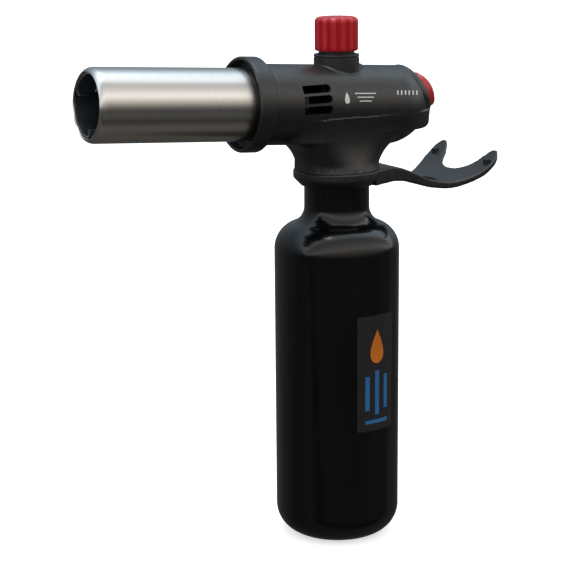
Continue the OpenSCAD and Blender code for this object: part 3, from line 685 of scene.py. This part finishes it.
def make_knob():
    """Broad lands with narrow round-bottomed grooves that cut through the top's rounding."""
    lands, per_land = 14, 20 if FINE else 14
    columns = lands * per_land
    top, crown, hub_r, hub_low = KNOB_TOP, 1.9, 7, 194
    groove_half, groove_depth = 6.2, 1.3
    # Rows of radius, height and how deep the grooves are there
    rows = [(0, hub_low, 0), (hub_r, hub_low, 0), (hub_r, KNOB_LOW, 0), (hub_r + 0.3, KNOB_LOW, 0),
            (KNOB_R - 0.9, KNOB_LOW, 0.5), (KNOB_R - 0.3, KNOB_LOW + 0.25, 0.9),
            (KNOB_R, KNOB_LOW + 0.8, 1)]
    rows += [(KNOB_R, z, 1) for z in np.linspace(KNOB_LOW + 1.5, top - crown, 8)]
    for a in np.radians(np.linspace(8, 84, 11)):
        rows.append((KNOB_R - crown + crown * math.cos(a), top - crown + crown * math.sin(a) - 0.01,
                     math.cos(a * 0.8) ** 0.5))
    rows += [(KNOB_R - crown - 0.35, top, 0), (KNOB_R - crown - 1.2, top, 0), (3, top - 0.05, 0),
             (0, top - 0.05, 0)]
    points = []
    for r, z, depth in rows:
        for k in range(columns):
            across = ((k / per_land) % 1 - 0.5) * 360 / lands
            groove = max(0.0, 1 - (across / groove_half) ** 2) ** 0.75
            a = 2 * math.pi * k / columns
            reach = r - groove_depth * depth * groove if r > KNOB_R - 3 else r
            points.append((reach * math.cos(a), reach * math.sin(a), z))
    faces = []
    for i in range(len(rows) - 1):
        for k in range(columns):
            a, b = i * columns + k, i * columns + (k + 1) % columns
            faces.append((a, b, b + columns, a + columns))
    knob = mesh_piece("fluted_knob", points, faces, KNOB, sharp=34)
    # Painted shade: a second slot in the sleeve's black colours the knob's hub, standing for the shade in the gap
    # above the sleeve
    knob.data.materials.append(SLEEVE_PLASTIC_AND_HUB_SHADE)
    apply_boolean(knob, "DIFFERENCE", [prism("cut_bore", circle(2.05), hub_low - 1, 206.5)])
    for face in knob.data.polygons:
        face.material_index = int(face.center.z < (KNOB_LOW + 0.01) * MM)
    smooth(knob.data, 34)
    settle(knob, "knob", "gas_knob")


def make_button():
    side, rise = 1.2, 3.4
    sphere = (BUTTON_R ** 2 + rise ** 2) / (2 * rise)
    edge = math.degrees(math.asin((BUTTON_R - 0.45) / sphere))
    outline = [(0, -2), (BUTTON_R - 1.1, -2), (BUTTON_R - 1.1, -4.5), (BUTTON_R, -4.5)]
    outline += arc((BUTTON_R - 0.5, side + 0.02), 0.5, 0, 50, 5)
    outline += arc((0, side + rise - sphere), sphere, 90 - edge, 90, 16)
    settle(turned("domed_button", outline, BUTTON, ON_BUTTON), "igniter", "igniter_button")


# --- Burner ------------------------------------------------------------------------------
TUBE_BACK, TUBE_WALL, LIP_R, LIP_SWEEP = 30.5, 0.6, 3.3, 61
VANE_R, VANE_T, VANE_S = 11.5, 0.5, (66, 105.8)
VANE_ANGLE, VANE_SWEEP, BEND_R, FOLD = 61, 100, 1.6, 1.5


def make_burner_tube():
    end = (TUBE_R - LIP_R, MOUTH_S - LIP_R)
    outer = [(TUBE_NECK_R, TUBE_BACK), (TUBE_NECK_R, TUBE_NECK_S), (TUBE_R, TUBE_NECK_S)]
    outer += arc(end, LIP_R, 0, LIP_SWEEP, 18)
    inner = arc(end, LIP_R - TUBE_WALL, LIP_SWEEP, 0, 18)
    step, neck_bore = TUBE_NECK_S + TUBE_WALL, TUBE_NECK_R - TUBE_WALL
    inner += [(TUBE_R - TUBE_WALL, step), (neck_bore, step), (neck_bore, TUBE_BACK)]
    settle(turned("brushed_tube", outer + inner, STEEL, ON_BARREL, sharp=50), "root", "burner_tube")


def make_vanes():
    """Three rolled sheets, each with its trailing edge folded inwards."""
    bend = (VANE_R - BEND_R, 0)
    path = arc((0, 0), VANE_R + 0.3, -VANE_SWEEP, -VANE_SWEEP / 2, 14)
    path += arc((0, 0), VANE_R, -VANE_SWEEP / 2 + 6, -5, 14) + arc(bend, BEND_R, 0, 90, 8)
    path.append((VANE_R - BEND_R - FOLD, BEND_R))
    path = np.array(path)
    along = np.gradient(path, axis=0)
    along /= np.linalg.norm(along, axis=1)[:, None]
    across = np.stack([-along[:, 1], along[:, 0]], 1) * VANE_T / 2
    ring = np.concatenate([path + across, (path - across)[::-1]])
    n = len(ring)
    points, faces = [], []
    for k in range(3):
        a = math.radians(VANE_ANGLE + 120 * k)
        turn = np.array([[math.cos(a), math.sin(a)], [-math.sin(a), math.cos(a)]])
        base = len(points)
        flat = ring @ turn
        points += [(x, y, s) for s in VANE_S for x, y in flat]
        faces += [(base + i, base + (i + 1) % n, base + n + (i + 1) % n, base + n + i)
                  for i in range(n)]
        for end in (base, base + n):
            faces += [(end + i, end + i + 1, end + n - 2 - i, end + n - 1 - i)
                      for i in range(n // 2 - 1)]
    vanes = mesh_piece("rolled_vanes", points, faces, SHADED_TEAL_STEEL, ON_BARREL, sharp=40)
    # Painted highlight: the sheets' end faces get the bright steel so their edges look lit
    vanes.data.materials.append(STEEL)
    for face in vanes.data.polygons:
        if abs(face.normal.z) > 0.9:
            face.material_index = 1
    settle(vanes, "root", "flame_vanes")


# --- Stand -------------------------------------------------------------------------------
RING_R, RING_TOP, RING_BEVEL, RING_BASE, WASHER_R = 17.3, 150.3, 147.3, 144.1, 15.5
# The arm from the side: its top's height, and its thickness, at places along it
ARM_TOP = [(10, 150.3), (17, 150.3), (24, 149.8), (31, 147.3), (38, 143.9), (45, 143), (52, 145.2),
           (59, 149.6), (66, 156.6), (70, 162)]
ARM_THICK = [(0, 6.2), (17, 6), (24, 5.6), (32, 4.2), (40, 2.9), (48, 2.4), (80, 2.4)]
# Half of its width from above, up to the round tip
ARM_PLAN = [(0, 17.2), (8, 14.4), (16, 10.8), (24, 8.6), (31, 8.6), (38, 11.2), (45, 15.4),
            (52, 19.4), (57, 21.8)]
TIP, TIP_R, NOTCH_X, NOTCH_R = (60.2, 17.7), 4.4, 69, 14.8
SLOT_X, SLOT_HALF_LENGTH, SLOT_HALF_WIDTH = 42.94, 2, 6.75


def curve(points, steps=8):
    """A smooth curve through points (Catmull-Rom)."""
    p = np.array(points, float)
    out = []
    for i in range(len(p) - 1):
        p0, p1, p2, p3 = p[max(i - 1, 0)], p[i], p[i + 1], p[min(i + 2, len(p) - 1)]
        for k in range(steps):
            t = k / steps
            out.append(0.5 * (2 * p1 + (p2 - p0) * t + (2 * p0 - 5 * p1 + 4 * p2 - p3) * t ** 2
                              + (3 * p1 - p0 - 3 * p2 + p3) * t ** 3))
    out.append(p[-1])
    return [tuple(q) for q in out]


def make_stand():
    top = curve(ARM_TOP)
    thick = np.interp([p[0] for p in top], *zip(*ARM_THICK))
    side = top + [(x, z - t) for (x, z), t in reversed(list(zip(top, thick)))]
    upright = Matrix.Rotation(math.radians(90), 4, "X")
    arm = prism("stand_fork", side, -30, 30, upright)
    edge = curve(ARM_PLAN) + arc(TIP, TIP_R, 110, -65, 20)
    edge += arc((NOTCH_X, 0), NOTCH_R, 118, 180, 24)
    plan = edge + [(x, -y) for x, y in reversed(edge[:-1])]
    apply_boolean(arm, "INTERSECT", [prism("cut_plan", plan, 100, 200)])
    ring = turned("ring_blank", [(0, RING_BASE), (14.2, RING_BASE), (RING_R, RING_BEVEL),
                                 (RING_R, RING_TOP), (0, RING_TOP)], STAND)
    apply_boolean(arm, "UNION", [ring])
    cutters = [prism("cut_bore", circle(NECK_R + 0.05, steps=96), 130, SEAT_Z + 0.05),
               prism("cut_top_bore", circle(SEAT_R + 0.05, steps=96), 130, 180),
               prism("cut_recess", circle(WASHER_R, steps=96), RING_TOP - 0.5, 180)]
    slot = [(SLOT_X + SLOT_HALF_LENGTH * math.cos(math.radians(a)),
             SLOT_HALF_WIDTH * math.sin(math.radians(a))) for a in range(0, 360, 8)]
    cutters.append(prism("cut_slot", slot, 120, 160))
    apply_boolean(arm, "DIFFERENCE", cutters)
    # Fine remeshing and a little smoothing round every edge, as casting and paint do
    remesh = arm.modifiers.new("remesh", "REMESH")
    remesh.mode = "VOXEL"
    remesh.voxel_size = (0.32 if FINE else 0.5) * MM
    relax = arm.modifiers.new("relax", "SMOOTH")
    relax.factor = 0.5
    relax.iterations = 6 if FINE else 3
    apply_modifiers(arm)
    arm.data.shade_smooth()
    settle(arm, "stand", "stand_ring_and_fork")


# --- Stage, light and camera -------------------------------------------------------------
VIEW_AZIMUTH, VIEW_ELEVATION, VIEW_ROLL = -29.549, 12.824, -0.5
CAMERA_BACK, CAMERA_SIDE, CAMERA_HEIGHT, LENS = 672.303, -21.45, 256.802, 108.8


def make_camera():
    a, e, roll = (math.radians(v) for v in (VIEW_AZIMUTH, VIEW_ELEVATION, VIEW_ROLL))
    right = Vector((math.cos(a), math.sin(a), 0))
    away = Vector((-math.sin(a), math.cos(a), 0))
    forward = away * math.cos(e) - Vector((0, 0, math.sin(e)))
    up = right.cross(forward)
    data = bpy.data.cameras.new("camera")
    data.lens = LENS
    data.sensor_width = 36
    data.clip_start, data.clip_end = 0.05, 50
    camera = bpy.data.objects.new("camera", data)
    rolled_right = right * math.cos(roll) + up * math.sin(roll)
    rolled_up = up * math.cos(roll) - right * math.sin(roll)
    turn = Matrix((rolled_right, rolled_up, -forward)).transposed().to_4x4()
    at = (right * CAMERA_SIDE - away * CAMERA_BACK) * MM + Vector((0, 0, CAMERA_HEIGHT * MM))
    camera.matrix_world = Matrix.Translation(at) @ turn
    bpy.context.scene.collection.objects.link(camera)
    bpy.context.scene.camera = camera


def area_light(name, at, size, power, colour=(1, 1, 1), aim=(0, 0, 0.12)):
    data = bpy.data.lights.new(name, "AREA")
    data.shape = "RECTANGLE"
    data.size, data.size_y = size
    data.energy = power
    data.color = colour
    light = bpy.data.objects.new(name, data)
    light.location = at
    light.rotation_mode = "QUATERNION"
    light.rotation_quaternion = (Vector(aim) - Vector(at)).to_track_quat("-Z", "Y")
    bpy.context.scene.collection.objects.link(light)


# Angle up round the barrel's direction from the near side, the studio's level, and its tint
STUDIO = [(-180, 0.16, (1, 1, 1)), (-140, 0.06, (1, 0.97, 0.93)), (-85, 0.1, (1, 0.93, 0.85)),
          (-66, 0.12, (1, 0.94, 0.87)), (-45, 0.03, (1, 1, 0.95)), (-28, 0.1, (1, 1, 0.97)),
          (-12, 0.05, (1, 1, 1)), (-2, 0.16, (1, 0.97, 0.93)), (9, 0.5, (1, 0.94, 0.87)),
          (20, 0.95, (1, 0.94, 0.87)), (32, 1.5, (1, 0.96, 0.91)), (52, 0.9, (1, 0.99, 0.97)),
          (70, 0.62, (1, 1, 1)), (86, 1.6, (0.88, 0.95, 1)), (112, 1.5, (0.7, 0.87, 1)),
          (140, 0.5, (0.7, 0.87, 1)), (180, 0.16, (1, 1, 1))]
STUDIO_PEAK = max(level for _, level, _ in STUDIO)


def make_studio():
    """A soft wrap-round studio: light above the horizon, dark below, on a white page."""
    world = bpy.data.worlds.new("studio")
    world.use_nodes = True
    nodes, links = world.node_tree.nodes, world.node_tree.links
    place = nodes.new("ShaderNodeTexCoord")
    split = nodes.new("ShaderNodeSeparateXYZ")
    near = nodes.new("ShaderNodeMath")
    near.operation = "MULTIPLY"
    near.inputs[1].default_value = -1
    turn = nodes.new("ShaderNodeMath")
    turn.operation = "ARCTAN2"
    span = nodes.new("ShaderNodeMapRange")
    node_input(span, "From Min", -math.pi)
    node_input(span, "From Max", math.pi)
    ramp = nodes.new("ShaderNodeValToRGB")
    points = ramp.color_ramp.elements
    while len(points) < len(STUDIO):
        points.new(0.5)
    for point, (angle, level, tint) in zip(points, STUDIO):
        point.position = (angle + 180) / 360
        point.color = (*(level / STUDIO_PEAK * t for t in tint), 1)
    links.new(place.outputs["Generated"], split.inputs["Vector"])
    links.new(split.outputs["Y"], near.inputs[0])
    links.new(split.outputs["Z"], turn.inputs[0])
    links.new(near.outputs[0], turn.inputs[1])
    links.new(turn.outputs[0], span.inputs["Value"])
    links.new(span.outputs["Result"], ramp.inputs["Fac"])
    light = nodes["Background"]
    node_input(light, "Strength", STUDIO_PEAK)
    links.new(ramp.outputs["Color"], light.inputs["Color"])
    page = nodes.new("ShaderNodeBackground")
    page.inputs["Color"].default_value = (1, 1, 1, 1)
    path = nodes.new("ShaderNodeLightPath")
    mix = nodes.new("ShaderNodeMixShader")
    links.new(path.outputs["Is Camera Ray"], mix.inputs[0])
    links.new(light.outputs[0], mix.inputs[1])
    links.new(page.outputs[0], mix.inputs[2])
    links.new(mix.outputs[0], nodes["World Output"].inputs["Surface"])
    bpy.context.scene.world = world


def make_stage():
    paper = moulded("floor_paper", (0.9, 0.9, 0.9), 0.9, 0.0, (0.88, 0.88, 0.88))
    node_input(paper.node_tree.nodes["Principled BSDF"], "Emission Color", (1, 1, 1, 1))
    node_input(paper.node_tree.nodes["Principled BSDF"], "Emission Strength", 0.6)
    half = 4000
    corners = [(x, y, 0) for x, y in bar(-half, half, -half, half)]
    floor = mesh_piece("floor", corners, [(0, 1, 2, 3)], paper)
    floor.location.z = -0.05 * MM
    floor.visible_glossy = False
    floor.visible_diffuse = False
    make_studio()
    bpy.context.scene.view_settings.view_transform = "Standard"
    area_light("overhead", (-0.1, 0.12, 1.0), (0.5, 0.2), 2.0, (0.88, 0.95, 1))


make_camera()
make_canister()
make_label()
make_head_print()
housing_half("head_shell_near", -1, "housing_left")
housing_half("head_shell_far", 1, "housing_right")
make_collar()
make_sleeve()
make_knob()
make_button()
make_burner_tube()
make_vanes()
make_stand()
make_stage()

bpy.context.view_layer.update()
